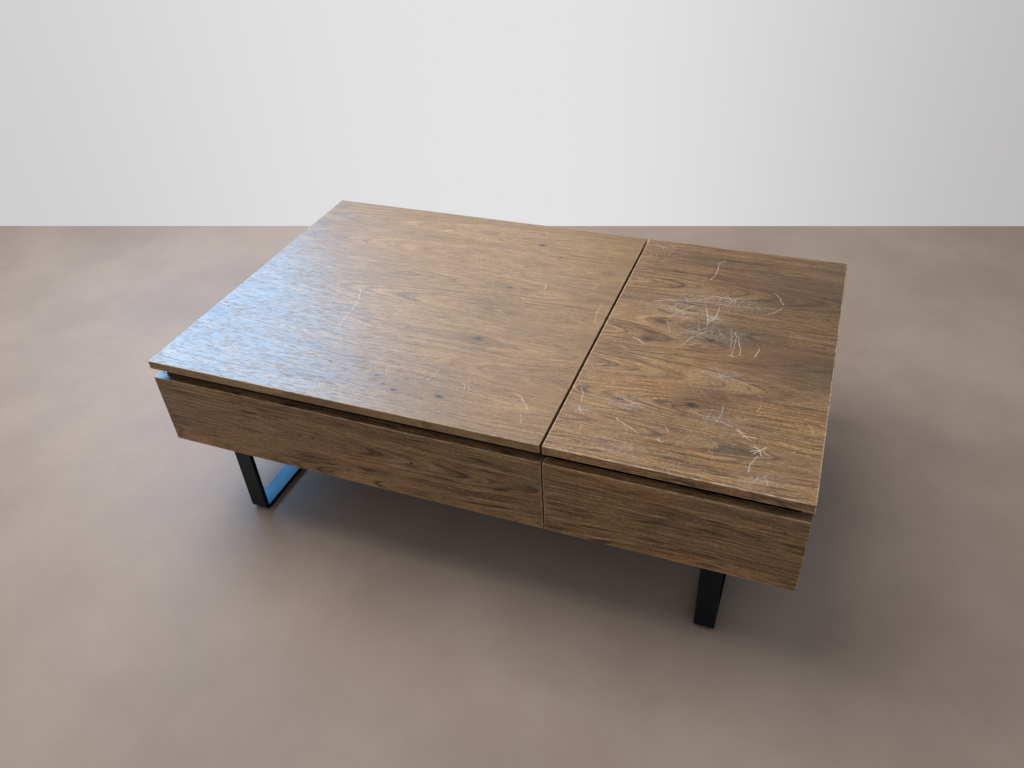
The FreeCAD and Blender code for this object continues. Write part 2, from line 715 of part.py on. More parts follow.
def pair_group(solids, middle):
    return group(solids + [mirrored(solid, middle) for solid in solids])


def case_nodes():
    end_left, end_right = make_end_panels()
    storage_bottom, cabinet_bottom = make_box_floors()
    storage = make_storage_walls()
    cabinet = make_cabinet_walls()
    return {
        "lift_top": make_lift_top(),
        "fixed_top": make_fixed_top(),
        "front_apron": make_front_apron(),
        "end_panel_left": end_left,
        "end_panel_right": end_right,
        "back_panel": make_back_panel(),
        "storage_bottom": storage_bottom,
        "cabinet_bottom": cabinet_bottom,
        "storage_wall_left": storage[0],
        "storage_wall_right": storage[1],
        "storage_wall_front": storage[2],
        "storage_wall_back": storage[3],
        "cabinet_wall_left": cabinet[0],
        "cabinet_wall_right": cabinet[1],
        "cabinet_wall_back": cabinet[2],
        "cabinet_rail_front": cabinet[3],
        "module_connectors": make_module_connectors(),
        "fixed_top_screws": group(screws(fixed_top_screw_starts, (0, 0, 1), TOP_SCREW)),
        "bumper_pads": make_bumper_pads(),
    }


def leg_nodes():
    left, right = leg_middles
    return {
        "leg_left": make_leg(left),
        "leg_right": make_leg(right),
        "leg_rail_left": make_leg_rail(left),
        "leg_rail_right": make_leg_rail(right),
        "leg_screws": make_leg_screws(),
        "floor_glides": make_floor_glides(),
    }


def mechanism_nodes():
    middle = storage_middle
    nodes = {}
    nodes.update(both_sides("hinge_base", make_hinge_base(), middle))
    nodes.update(both_sides("rear_arm", make_arm(rear_low, rear_high, RUNNING_FIT), middle))
    nodes.update(both_sides("front_arm", make_arm(front_low, front_high, OPEN_PIVOT_FIT), middle))
    nodes.update(both_sides("top_bracket", make_top_bracket(), middle))
    nodes.update(both_sides("torsion_spring", make_torsion_spring(), middle))
    nodes["lower_pivot_pins"] = pair_group(make_lower_pins(), middle)
    nodes["upper_pivot_pins"] = pair_group(make_upper_pins(), middle)
    nodes["lower_spacers"] = pair_group(make_lower_spacers(), middle)
    nodes["upper_spacers"] = pair_group(make_upper_spacers(), middle)
    nodes["arm_stops"] = pair_group([make_arm_stop()], middle)
    nodes["spring_hubs"] = pair_group([make_spring_hub()], middle)
    nodes["sync_bar"] = make_sync_bar()
    nodes["hinge_base_screws"] = pair_group(screws(base_screw_starts, (-1, 0, 0), HINGE_SCREW), middle)
    nodes["top_bracket_screws"] = pair_group(screws(bracket_screw_starts, (0, 0, 1), HINGE_SCREW), middle)
    return nodes


def drawer_nodes():
    middle = cabinet_middle
    outer, member, inner = make_slides()
    outer, outer_screws = make_slide_outer(outer)
    inner, inner_screws = make_slide_inner(inner)
    nodes = {"drawer_front": make_drawer_front()}
    nodes.update(make_drawer_box())
    nodes["drawer_front_screws"] = group(screws(front_screw_starts, (0, -1, 0), FRONT_SCREW))
    nodes.update(both_sides("slide_outer", outer, middle))
    nodes.update(both_sides("slide_middle", member, middle))
    nodes.update(both_sides("slide_inner", inner, middle))
    nodes["slide_outer_screws"] = pair_group(outer_screws, middle)
    nodes["slide_inner_screws"] = pair_group(inner_screws, middle)
    return nodes


def main():
    os.makedirs("parts", exist_ok=True)
    nodes = {}
    for make_nodes in (case_nodes, leg_nodes, mechanism_nodes, drawer_nodes):
        nodes.update(make_nodes())
    for name, shape in sorted(nodes.items()):
        shape.exportStep(os.path.join("parts", name + ".step"))
    print(len(nodes), "nodes")


main()
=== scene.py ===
import math

import bpy
from mathutils import Euler, Matrix, Vector


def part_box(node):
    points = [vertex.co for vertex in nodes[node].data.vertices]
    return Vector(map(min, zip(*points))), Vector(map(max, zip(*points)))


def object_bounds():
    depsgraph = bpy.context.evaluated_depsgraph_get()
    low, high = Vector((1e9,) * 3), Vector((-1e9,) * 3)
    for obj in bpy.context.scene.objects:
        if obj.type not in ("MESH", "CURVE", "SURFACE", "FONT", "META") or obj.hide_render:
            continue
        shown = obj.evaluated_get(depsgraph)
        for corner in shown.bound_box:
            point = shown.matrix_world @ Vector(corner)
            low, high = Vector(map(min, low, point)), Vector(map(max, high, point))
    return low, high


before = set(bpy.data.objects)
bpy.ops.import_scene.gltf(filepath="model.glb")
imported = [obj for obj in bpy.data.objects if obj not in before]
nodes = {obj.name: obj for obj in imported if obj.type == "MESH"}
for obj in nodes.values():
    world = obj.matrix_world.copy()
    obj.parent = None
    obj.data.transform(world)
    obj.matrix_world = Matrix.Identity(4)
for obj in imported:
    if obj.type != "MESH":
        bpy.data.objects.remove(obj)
cad_low, cad_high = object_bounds()

MM = 0.001


def rgb(red, green, blue):
    """A colour given as 0 to 255 screen values, as Blender's linear colour."""
    def linear(value):
        value = value / 255
        return value / 12.92 if value <= 0.04045 else ((value + 0.055) / 1.055) ** 2.4
    return (linear(red), linear(green), linear(blue), 1.0)


# ---------------------------------------------------------------- building node trees

# The sockets of a Mix node that mixes colours.
MIX_FACTOR = 0
MIX_FIRST = 6
MIX_SECOND = 7
MIX_RESULT = 2


class Tree:
    """Short names for building a node tree. A value may be a number, a tuple or another node's output."""

    def __init__(self, tree):
        self.tree = tree
        self.tree.nodes.clear()

    def node(self, kind, settings=None, **values):
        made = self.tree.nodes.new(kind)
        for name, setting in (settings or {}).items():
            setattr(made, name, setting)
        for name, value in values.items():
            self.put(made.inputs[name.replace("_", " ")], value)
        return made

    def put(self, socket, value):
        if isinstance(value, bpy.types.NodeSocket):
            self.tree.links.new(value, socket)
        else:
            socket.default_value = value

    def math(self, operation, *values):
        made = self.node("ShaderNodeMath", {"operation": operation})
        for socket, value in zip(made.inputs, values):
            self.put(socket, value)
        return made.outputs[0]

    def vector(self, operation, *values):
        made = self.node("ShaderNodeVectorMath", {"operation": operation})
        for socket, value in zip(made.inputs, values):
            self.put(socket, value)
        return made.outputs["Value" if operation in ("DOT_PRODUCT", "LENGTH") else "Vector"]

    def xyz(self, x, y, z):
        return self.node("ShaderNodeCombineXYZ", X=x, Y=y, Z=z).outputs[0]

    def split(self, vector):
        return self.node("ShaderNodeSeparateXYZ", Vector=vector).outputs

    def noise(self, vector, scale=1.0, detail=2.0, roughness=0.5):
        made = self.node(
            "ShaderNodeTexNoise", Vector=vector, Scale=scale, Detail=detail, Roughness=roughness)
        return made.outputs["Fac"]

    def ease(self, value, low, high, to_low=0.0, to_high=1.0):
        """A smooth step: to_low at low, to_high at high."""
        made = self.node("ShaderNodeMapRange", {"interpolation_type": "SMOOTHSTEP"}, Value=value)
        for name, number in zip(("From Min", "From Max", "To Min", "To Max"), (low, high, to_low, to_high)):
            self.put(made.inputs[name], number)
        return made.outputs["Result"]

    def ramp(self, value, stops):
        made = self.node("ShaderNodeValToRGB", Fac=value)
        elements = made.color_ramp.elements
        while len(elements) < len(stops):
            elements.new(0.5)
        for element, (place, colour) in zip(elements, stops):
            element.position = place
            element.color = colour
        return made.outputs["Color"]

    def mix(self, factor, first, second, blend="MIX"):
        made = self.node("ShaderNodeMix", {"data_type": "RGBA", "blend_type": blend})
        self.put(made.inputs[MIX_FACTOR], factor)
        self.put(made.inputs[MIX_FIRST], first)
        self.put(made.inputs[MIX_SECOND], second)
        return made.outputs[MIX_RESULT]

    def bell(self, x, y):
        """1 where x and y are 0, falling smoothly to 0 a few units away."""
        square = self.math("ADD", self.math("MULTIPLY", x, x), self.math("MULTIPLY", y, y))
        return self.math("POWER", math.e, self.math("MULTIPLY", square, -1.0))

    def bump(self, height, distance, strength):
        made = self.node("ShaderNodeBump", Height=height, Distance=distance, Strength=strength)
        return made.outputs["Normal"]


class Material(Tree):
    """A material with one Principled shader. Places on it come from the part's own coordinates."""

    def __init__(self, name):
        self.material = bpy.data.materials.new(name)
        self.material.use_nodes = True
        super().__init__(self.material.node_tree)
        self.shader = self.node("ShaderNodeBsdfPrincipled")
        output = self.node("ShaderNodeOutputMaterial")
        self.tree.links.new(self.shader.outputs["BSDF"], output.inputs["Surface"])
        self.place = self.node("ShaderNodeTexCoord").outputs["Object"]

    def set(self, **values):
        for name, value in values.items():
            self.put(self.shader.inputs[name.replace("_", " ")], value)
        return self


class Group(Tree):
    """A node group, used as a function: call() adds an instance of it to a tree."""

    def __init__(self, name, inputs, outputs):
        super().__init__(bpy.data.node_groups.new(name, "ShaderNodeTree"))
        for socket, kind in inputs:
            self.tree.interface.new_socket(socket, in_out="INPUT", socket_type="NodeSocket" + kind)
        for socket, kind in outputs:
            self.tree.interface.new_socket(socket, in_out="OUTPUT", socket_type="NodeSocket" + kind)
        self.given = self.node("NodeGroupInput").outputs
        self.result = self.node("NodeGroupOutput").inputs

    def call(self, tree, **values):
        made = tree.node("ShaderNodeGroup", {"node_tree": self.tree})
        for name, value in values.items():
            tree.put(made.inputs[name.replace("_", " ")], value)
        return made.outputs


# ---------------------------------------------------------------- walnut

# Light and dark wood of the boards, as the eye sees them in even light.
WALNUT_LIGHT = rgb(184, 149, 106)
WALNUT_MIDDLE = rgb(144, 112, 77)
WALNUT_DARK = rgb(96, 70, 46)
WALNUT_LINE = rgb(58, 40, 27)
WALNUT_GREY = rgb(116, 101, 82)
WALNUT_WARM = rgb(152, 107, 64)
# WALNUT_SHADOW is the dark patches' colour: grey veneer, and on the fixed top partly painted shade.
WALNUT_SHADOW = rgb(72, 58, 46)
WALNUT_FADED = rgb(150, 124, 88)
KNOT = rgb(46, 34, 27)
# The pale edge colour: rubbed wear, and also a painted highlight along the arris.
WORN_AND_HIGHLIGHT = rgb(206, 186, 158)
SCRATCH = rgb(238, 230, 216)
SCUFF = rgb(190, 190, 192)

# How often each pattern changes along the grain, across it and into the board, per metre.
FIBRE = (26.0, 560.0, 560.0)
FLECK = (160.0, 1100.0, 1100.0)
GREY_LEAF = (2.2, 9.0, 9.0)
WARM_LEAF = (3.0, 16.0, 16.0)
SLOW_BEND = (2.6, 6.0, 6.0)
QUICK_BEND = (26.0, 36.0, 36.0)
RUBBING = (60.0, 140.0, 140.0)
SHEEN = (5.0, 14.0, 14.0)

# Growth bands and rings: how often they change across the rings and along the grain, per metre.
BANDS = (80.0, 2.0)
RINGS = (260.0, 4.0)

# What bands, rings, fibre and flecks add to the wood's light and dark, and the colours that come of it.
BAND_SHARE = 0.12
RING_SHARE = 0.26
FIBRE_SHARE = 0.28
FLECK_SHARE = 0.34
TONES = ((0.40, WALNUT_DARK), (0.50, WALNUT_MIDDLE), (0.59, WALNUT_LIGHT))

# Dark lines: changes per metre across and along, thickness, and how often they are broken.
DARK_LINES = ((125.0, 2.4, 0.032, 60.0), (230.0, 5.0, 0.06, 40.0))
BREAKS_ALONG = 11.0

# How a pattern's noise turns into strength: noise from and to, strength from and to.
LINE_STRENGTH = (0.39, 0.60, 0.08, 0.60)
GREY_STRENGTH = (0.46, 0.74, 0.0, 0.30)
WARM_STRENGTH = (0.5, 0.75, 0.0, 0.30)
PORE_STRENGTH = (0.56, 0.70, 0.0, 1.0)
ARRIS_STRENGTH = (0.40, 0.62, 0.35, 1.0)
HAIR_STRENGTH = (0.40, 0.66, 0.05, 0.45)
GRIT_STRENGTH = (0.30, 0.55, 0.45, 1.0)
DUST_STRENGTH = (0.42, 0.66, 0.05, 0.24)
WALNUT_ROUGHNESS = (0.25, 0.75, 0.34, 0.38)

# How often even patterns change, per metre.
SHAKE_RATE = 75.0
HAIR_CLOUD_RATE = 4.0
GRIT_RATE = 900.0
DUST_RATE = 140.0

# How far a knot's parts and a patch reach along the grain and across it, in knot or patch sizes.
KNOT_CORE = (1.6, 0.8)
KNOT_STREAK = (8.0, 2.0)
KNOT_SWERVE = (6.0, 3.5)
PATCH_REACH = (1.6, 0.8)
SWERVE = -0.55            # the grain is pushed aside by this share of its distance from the knot

# How strongly marks darken the wood, roughen it and press into it.
PORE_DARKNESS = 0.45
STREAK_DARKNESS = 0.38
CORE_DARKNESS = 1.5
PORE_ROUGHNESS = 0.12
SCRATCH_ROUGHNESS = 0.15
TONE_HEIGHT = 0.12
SCRATCH_DEPTH = 1.2
CORE_DEPTH = 0.8

# A scratch fades in over this share of its length, and a hairline is full over this share of its own.
STROKE_END = 0.06
HAIR_BODY = 0.6
HAIR_BOW = 9.0            # the strongest bend of a hairline

# Lengths in metres.
PORE_LENGTH = 0.009
PORE_WIDTH = 0.0006
SLOW_WANDER = 0.030       # how far the grain wanders
QUICK_WANDER = 0.0055     # how far every line of it shivers
FLAME_BLEND = 0.012       # neighbouring flames melt into each other over this distance
ARRIS_INNER = 0.0026      # a rubbed arris with its painted highlight fades out this far from the edge
ARRIS_OUTER = 0.0007
PATCH_SHIFT = 0.006       # a patch steps aside by this much over an older one
SKIP = 0.0001             # a scratch steps aside by this much where it crosses an older one
SHAKE = 0.006             # how far a scratch strays from its bowed line
SCRATCH_REACH = 0.0011    # a scratch fades out at this distance from its line
HAIR_REACH = 0.0005       # a hairline fades out at this distance from its line
FACE_FAR = 0.0020         # scratches fade in between these depths under a board's face
FACE_NEAR = 0.0005
GRAIN_RELIEF = 0.00016

# The hairlines' cell sizes, each with the longest hairline in it.
HAIR_SETS = ((0.045, 0.030), (0.017, 0.009), (0.026, 0.018), (0.034, 0.022), (0.090, 0.060))

RELIEF_STRENGTH = 0.9


def make_flame_group():
    """Distance from the heart of one flame figure: rings around it are long ellipses along the grain."""
    group = Group(
        "flame", [("Grain", "Vector"), ("Heart", "Vector"), ("Taper", "Float")], [("Ring", "Float")])
    away = group.split(group.vector("SUBTRACT", group.given["Grain"], group.given["Heart"]))
    slope = group.math("MULTIPLY", away[0], group.given["Taper"])
    deep = group.math("ADD", slope, away[2])
    square = group.math("ADD", group.math("MULTIPLY", away[1], away[1]), group.math("MULTIPLY", deep, deep))
    group.put(group.result["Ring"], group.math("SQRT", square))
    return group


def make_knot_group():
    """A small knot: a dark core with a streak along the grain, and grain that swerves around it."""
    group = Group(
        "knot", [("Grain", "Vector"), ("Centre", "Vector"), ("Size", "Float")],
        [("Core", "Float"), ("Streak", "Float"), ("Swerve", "Float")])
    away = group.split(group.vector("SUBTRACT", group.given["Grain"], group.given["Centre"]))
    along = group.math("DIVIDE", away[0], group.given["Size"])
    across = group.math("DIVIDE", away[1], group.given["Size"])

    def spread(length, width):
        return group.bell(group.math("DIVIDE", along, length), group.math("DIVIDE", across, width))

    group.put(group.result["Core"], spread(*KNOT_CORE))
    group.put(group.result["Streak"], spread(*KNOT_STREAK))
    swerve = group.math("MULTIPLY", group.math("MULTIPLY", away[1], spread(*KNOT_SWERVE)), SWERVE)
    group.put(group.result["Swerve"], swerve)
    return group


def make_patch_group():
    """A soft oval patch laid over the older ones, which make its outline a little uneven."""
    group = Group(
        "patch", [("Older", "Float"), ("Grain", "Vector"), ("Centre", "Vector"), ("Size", "Float")],
        [("Patches", "Float")])
    older = group.given["Older"]
    shift = group.math("MULTIPLY", older, PATCH_SHIFT)
    away = group.vector("SUBTRACT", group.given["Grain"], group.given["Centre"])
    moved = group.split(group.vector("ADD", away, group.xyz(shift, shift, 0.0)))
    x, y = (group.math("DIVIDE", moved[axis], group.math("MULTIPLY", group.given["Size"], PATCH_REACH[axis]))
            for axis in (0, 1))
    patch = group.bell(x, y)
    group.put(group.result["Patches"], group.math("MAXIMUM", older, patch))
    return group


def make_wood_group():
    """Walnut from a grain place (along, across, depth) and its ring coordinate, both in metres."""
    group = Group(
        "walnut", [("Grain", "Vector"), ("Ring", "Float"), ("Lines", "Float")],
        [("Colour", "Color"), ("Height", "Float"), ("Pores", "Float")])
    grain, ring = group.given["Grain"], group.given["Ring"]
    along, across = group.split(grain)[:2]

    def stretched(per_metre, detail=2.0, roughness=0.5):
        return group.noise(group.vector("MULTIPLY", grain, per_metre), 1.0, detail, roughness)

    def lines(across_rings, along_grain, detail=2.0):
        """Noise drawn out into lines that follow the rings."""
        place = group.xyz(
            group.math("MULTIPLY", ring, across_rings), group.math("MULTIPLY", along, along_grain),
            group.math("MULTIPLY", across, along_grain))
        return group.noise(place, 1.0, detail)

    def dark_lines(across_rings, along_grain, thickness):
        """Thin lines where such a noise crosses its middle value."""
        away = group.math("ABSOLUTE", group.math("SUBTRACT", lines(across_rings, along_grain, 1.0), 0.5))
        return group.ease(away, 0.0, thickness, 1.0, 0.0)

    tone = group.math("ADD", group.math("MULTIPLY", lines(*BANDS), BAND_SHARE),
                      group.math("MULTIPLY", lines(*RINGS), RING_SHARE))
    tone = group.math("ADD", tone, group.math("MULTIPLY", stretched(FIBRE, 2.0, 0.6), FIBRE_SHARE))
    tone = group.math("ADD", tone, group.math("MULTIPLY", stretched(FLECK, 1.0), FLECK_SHARE))
    colour = group.ramp(tone, TONES)
    for across_rings, along_grain, thickness, breaks in DARK_LINES:
        broken = group.ease(lines(breaks, BREAKS_ALONG), *LINE_STRENGTH)
        strength = group.math("MULTIPLY", broken, group.given["Lines"])
        line = group.math("MULTIPLY", dark_lines(across_rings, along_grain, thickness), strength)
        colour = group.mix(line, colour, WALNUT_LINE)
    # Wide patches turn grey or brown, as between one veneer leaf and the next.
    colour = group.mix(group.ease(stretched(GREY_LEAF), *GREY_STRENGTH), colour, WALNUT_GREY)
    colour = group.mix(group.ease(stretched(WARM_LEAF, 1.0), *WARM_STRENGTH), colour, WALNUT_WARM)
    dash = group.vector("MULTIPLY", grain, (1 / PORE_LENGTH, 1 / PORE_WIDTH, 1 / PORE_WIDTH))
    pores = group.ease(group.noise(dash, 0.5, 1.0), *PORE_STRENGTH)
    colour = group.mix(group.math("MULTIPLY", pores, PORE_DARKNESS), colour, WALNUT_LINE)
    height = group.math("SUBTRACT", group.math("MULTIPLY", tone, TONE_HEIGHT), pores)
    group.put(group.result["Colour"], colour)
    group.put(group.result["Height"], height)
    group.put(group.result["Pores"], pores)
    return group


def beside_older(group):
    """A mark's own place, moved aside a little where it crosses an older mark."""
    skip = group.math("MULTIPLY", group.given["Older"], SKIP)
    return group.vector("ADD", group.given["Place"], group.xyz(skip, skip, 0.0))


def make_stroke_group():
    """One scratch laid over the older marks: a thin bowed line.

    Along and Across are the line's directions; Along is divided by the line's length.
    """
    group = Group(
        "stroke",
        [("Older", "Float"), ("Place", "Vector"), ("Start", "Vector"), ("Along", "Vector"),
         ("Across", "Vector"), ("Bow", "Float"), ("Width", "Float"), ("Strength", "Float")],
        [("Marks", "Float")])
    away = group.vector("SUBTRACT", beside_older(group), group.given["Start"])
    share = group.vector("DOT_PRODUCT", away, group.given["Along"])
    offset = group.vector("DOT_PRODUCT", away, group.given["Across"])
    left = group.math("SUBTRACT", 1.0, share)
    arch = group.math("MULTIPLY", group.math("MULTIPLY", share, left), group.given["Bow"])
    distance = group.math("ABSOLUTE", group.math("SUBTRACT", offset, arch))
    end = group.ease(group.math("MINIMUM", share, left), 0.0, STROKE_END)
    core = group.ease(distance, 0.0, group.given["Width"], 1.0, 0.0)
    mark = group.math("MULTIPLY", group.math("MULTIPLY", core, end), group.given["Strength"])
    group.put(group.result["Marks"], group.math("MAXIMUM", group.given["Older"], mark))
    return group


def make_hairline_group():
    """Short scratches over the older marks, one to a cell, each at its own angle."""
    group = Group(
        "hairlines",
        [("Older", "Float"), ("Place", "Vector"), ("Cell", "Float"), ("Length", "Float"),
         ("Strength", "Float")],
        [("Marks", "Float")])
    on_face = (1.0, 1.0, 0.0)
    flat = group.vector("MULTIPLY", beside_older(group), on_face)
    scale = group.math("DIVIDE", 1.0, group.given["Cell"])
    cells = group.node("ShaderNodeTexVoronoi", {"voronoi_dimensions": "2D"}, Vector=flat, Scale=scale)
    away = group.vector("SUBTRACT", flat, group.vector("MULTIPLY", cells.outputs["Position"], on_face))
    red, green, blue = group.split(cells.outputs["Color"])
    turned = group.node(
        "ShaderNodeVectorRotate", {"rotation_type": "Z_AXIS"}, Vector=away,
        Angle=group.math("MULTIPLY", red, 2 * math.pi))
    x, y = group.split(turned.outputs[0])[:2]
    bow = group.math("MULTIPLY", group.math("MULTIPLY", x, x), group.math("MULTIPLY", green, HAIR_BOW))
    thin = group.ease(group.math("ABSOLUTE", group.math("SUBTRACT", y, bow)), 0.0, HAIR_REACH, 1.0, 0.0)
    length = group.math("MULTIPLY", group.given["Length"], blue)
    body = group.math("MULTIPLY", length, HAIR_BODY)
    short = group.ease(group.math("ABSOLUTE", x), body, length, 1.0, 0.0)
    mark = group.math("MULTIPLY", group.math("MULTIPLY", thin, short), group.given["Strength"])
    group.put(group.result["Marks"], group.math("MAXIMUM", group.given["Older"], mark))
    return group


flame_group = make_flame_group()
knot_group = make_knot_group()
patch_group = make_patch_group()
wood_group = make_wood_group()
stroke_group = make_stroke_group()
hairline_group = make_hairline_group()


def edge_distance(tree, node):
    """Distance of a place on a board from the nearest of the board's edges."""
    low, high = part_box(node)
    gaps = []
    for axis, value in enumerate(tree.split(tree.place)):
        gaps.append(tree.math(
            "MINIMUM", tree.math("SUBTRACT", value, low[axis]), tree.math("SUBTRACT", high[axis], value)))
    smaller = tree.math("MINIMUM", gaps[0], gaps[1])
    larger = tree.math("MAXIMUM", gaps[0], gaps[1])
    return tree.math("MAXIMUM", smaller, tree.math("MINIMUM", larger, gaps[2]))


def strokes_mark(tree, strokes):
    """All listed scratches of one board. Each is x, y, x, y, bow and strength, in mm."""
    marks = 0.0
    shake = tree.math("MULTIPLY", tree.math("SUBTRACT", tree.noise(tree.place, SHAKE_RATE), 0.5), SHAKE)
    place = tree.vector("ADD", tree.place, tree.xyz(shake, shake, 0.0))
    for x0, y0, x1, y1, bow, strength in strokes:
        run = Vector(((x1 - x0) * MM, (y1 - y0) * MM, 0.0))
        marks = stroke_group.call(
            tree, Older=marks, Place=place, Start=(x0 * MM, y0 * MM, 0.0), Along=run / run.length_squared,
            Across=Vector((-run.y, run.x, 0.0)).normalized(), Bow=4 * bow * MM, Width=SCRATCH_REACH,
            Strength=strength)[0]
    return marks


def patches_mark(tree, grain, patches):
    """All soft patches of one board. Each is along, across and size, in mm."""
    marks = 0.0
    for x, y, size in patches:
        marks = patch_group.call(
            tree, Older=marks, Grain=grain, Centre=(x * MM, y * MM, 0.0), Size=size * MM)[0]
    return marks


def wander(tree, plain, across):
    """The grain wanders slowly, and every fibre line shivers a little."""
    for per_metre, reach in ((SLOW_BEND, SLOW_WANDER), (QUICK_BEND, QUICK_WANDER)):
        bend = tree.math("SUBTRACT", tree.noise(tree.vector("MULTIPLY", plain, per_metre)), 0.5)
        across = tree.math("ADD", across, tree.math("MULTIPLY", bend, reach))
    return across


def knots_mark(tree, flat, across, knots):
    """The knots' cores and streaks, and the grain's place across as it swerves round them."""
    cores, streaks = 0.0, 0.0
    for x, y, size in knots:
        knot = knot_group.call(tree, Grain=flat, Centre=(x * MM, y * MM, 0.0), Size=size * MM)
        cores = tree.math("MAXIMUM", cores, knot["Core"])
        streaks = tree.math("MAXIMUM", streaks, knot["Streak"])
        across = tree.math("ADD", across, knot["Swerve"])
    return cores, streaks, across


def ring_place(tree, grain, flames):
    """The ring coordinate: distance from the nearest flame's heart."""
    ring = 1.0
    for x, y, taper in flames:
        flame = flame_group.call(tree, Grain=grain, Heart=(x * MM, y * MM, 0.0), Taper=taper)
        ring = tree.math("SMOOTH_MIN", ring, flame["Ring"], FLAME_BLEND)
    return ring


def arris_wear_and_highlight(tree, plain, node):
    """Where a board's edges are rubbed pale, with a painted highlight along them."""
    rub = tree.noise(tree.vector("MULTIPLY", plain, RUBBING), 1.0, 3.0, 0.6)
    arris = tree.ease(edge_distance(tree, node), ARRIS_OUTER, ARRIS_INNER, 1.0, 0.0)
    return tree.math("MULTIPLY", arris, tree.ease(rub, *ARRIS_STRENGTH))


def scratches_mark(tree, strokes, rubbed, hairlines, height, face):
    """The board's scratches, on its face only: listed ones, and hairlines, mostly in rubbed patches."""
    mark = strokes_mark(tree, strokes)
    if hairlines:
        few = tree.ease(tree.noise(tree.place, HAIR_CLOUD_RATE), *HAIR_STRENGTH)
        crossed = tree.math("MULTIPLY", tree.math("MAXIMUM", rubbed, few), hairlines)
        for cell, length in HAIR_SETS:
            mark = hairline_group.call(
                tree, Older=mark, Place=tree.place, Cell=cell, Length=length, Strength=crossed)[0]
    mark = tree.math("MULTIPLY", mark, tree.ease(height, face - FACE_FAR, face - FACE_NEAR))
    gritty = tree.ease(tree.noise(tree.place, GRIT_RATE, 1.0), *GRIT_STRENGTH)
    return tree.math("MULTIPLY", mark, gritty)


def walnut(node, grain_axes, flames, knots=(), strokes=(), scuffs=(), greys_and_shade=(), hairlines=0.0, lines=1.0,
           shade=1.0, wear_and_highlight=0.6, fade=0.0, grey=0.62):
    """Walnut veneer on one board.

    grain_axes are the part's axes along the grain, across it and into the board.
    flames are (along, across, taper); knots, scuffs and dark patches are (along, across, size), in mm. The
    dark patches are grey veneer, and on the fixed top partly painted shade towards its back and right.
    hairlines, lines, wear, fade and grey say how strong the hairlines, dark lines, pale edges (rubbed wear
    with a painted highlight), fading and dark patches are. shade makes the whole board lighter or darker.
    """
    tree = Material("walnut_" + node)
    parts = tree.split(tree.place)
    along, across, depth = (parts[axis] for axis in grain_axes)
    low, high = (corner[grain_axes[2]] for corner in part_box(node))
    depth = tree.math("SUBTRACT", depth, (low + high) / 2)
    plain = tree.xyz(along, across, depth)

    across = wander(tree, plain, across)
    flat = tree.xyz(along, across, 0.0)
    cores, streaks, across = knots_mark(tree, flat, across, knots)
    grain = tree.xyz(along, across, depth)
    wood = wood_group.call(tree, Grain=grain, Ring=ring_place(tree, grain, flames), Lines=lines)
    colour = tree.mix(fade, wood["Colour"], WALNUT_FADED)
    colour = tree.mix(tree.math("MULTIPLY", streaks, STREAK_DARKNESS), colour, WALNUT_DARK)
    colour = tree.mix(tree.math("MULTIPLY", cores, CORE_DARKNESS), colour, KNOT)
    # Dark patches: grey veneer, and on the fixed top partly painted shade, darker towards its back and right.
    colour = tree.mix(tree.math("MULTIPLY", patches_mark(tree, flat, greys_and_shade), grey), colour, WALNUT_SHADOW)
    # Pale edges: rubbed wear, and a painted highlight along the arris.
    colour = tree.mix(tree.math("MULTIPLY", arris_wear_and_highlight(tree, plain, node), wear_and_highlight), colour, WORN_AND_HIGHLIGHT)
    colour = tree.mix(1.0, colour, (shade, shade, shade, 1.0), "MULTIPLY")

    rubbed = patches_mark(tree, flat, scuffs)
    mark = scratches_mark(tree, strokes, rubbed, hairlines, parts[grain_axes[2]], high)
    colour = tree.mix(mark, colour, SCRATCH)
    dusty = tree.ease(tree.noise(tree.place, DUST_RATE, 4.0, 0.7), *DUST_STRENGTH)
    colour = tree.mix(tree.math("MULTIPLY", rubbed, dusty), colour, SCUFF)

    sheen = tree.noise(tree.vector("MULTIPLY", plain, SHEEN), 1.0, 3.0)
    rough = tree.ease(sheen, *WALNUT_ROUGHNESS)
    rough = tree.math("ADD", rough, tree.math("MULTIPLY", wood["Pores"], PORE_ROUGHNESS))
    rough = tree.math("ADD", rough, tree.math("MULTIPLY", mark, SCRATCH_ROUGHNESS))
    height = tree.math("SUBTRACT", wood["Height"], tree.math("MULTIPLY", mark, SCRATCH_DEPTH))
    height = tree.math("SUBTRACT", height, tree.math("MULTIPLY", cores, CORE_DEPTH))
    return tree.set(Base_Color=colour, Roughness=rough,
                    Normal=tree.bump(height, GRAIN_RELIEF, RELIEF_STRENGTH), Specular_IOR_Level=0.5).material


# ---------------------------------------------------------------- the boards' own figures

# Flame figures of the tops: heart x, heart y, taper.
TOP_FLAMES = [
    (60, 190, 0.085), (120, -10, 0.1), (-40, -120, 0.085), (-420, 80, 0.05), (60, -290, 0.045),
    (700, 40, 0.11), (640, -205, 0.1), (520, 300, 0.05), (-650, -260, 0.06),
]
TOP_KNOTS = [
    (-35, 280, 4.5), (-40, 80, 4.0), (-30, -115, 5.0), (-165, -285, 3.0), (-140, -305, 2.6),
    (-115, -315, 3.4), (-25, -305, 4.6),
]
FIXED_KNOTS = [(285, 185, 2.6), (285, -20, 4.4), (285, -215, 4.2), (400, 5, 6.0), (405, -195, 6.0)]

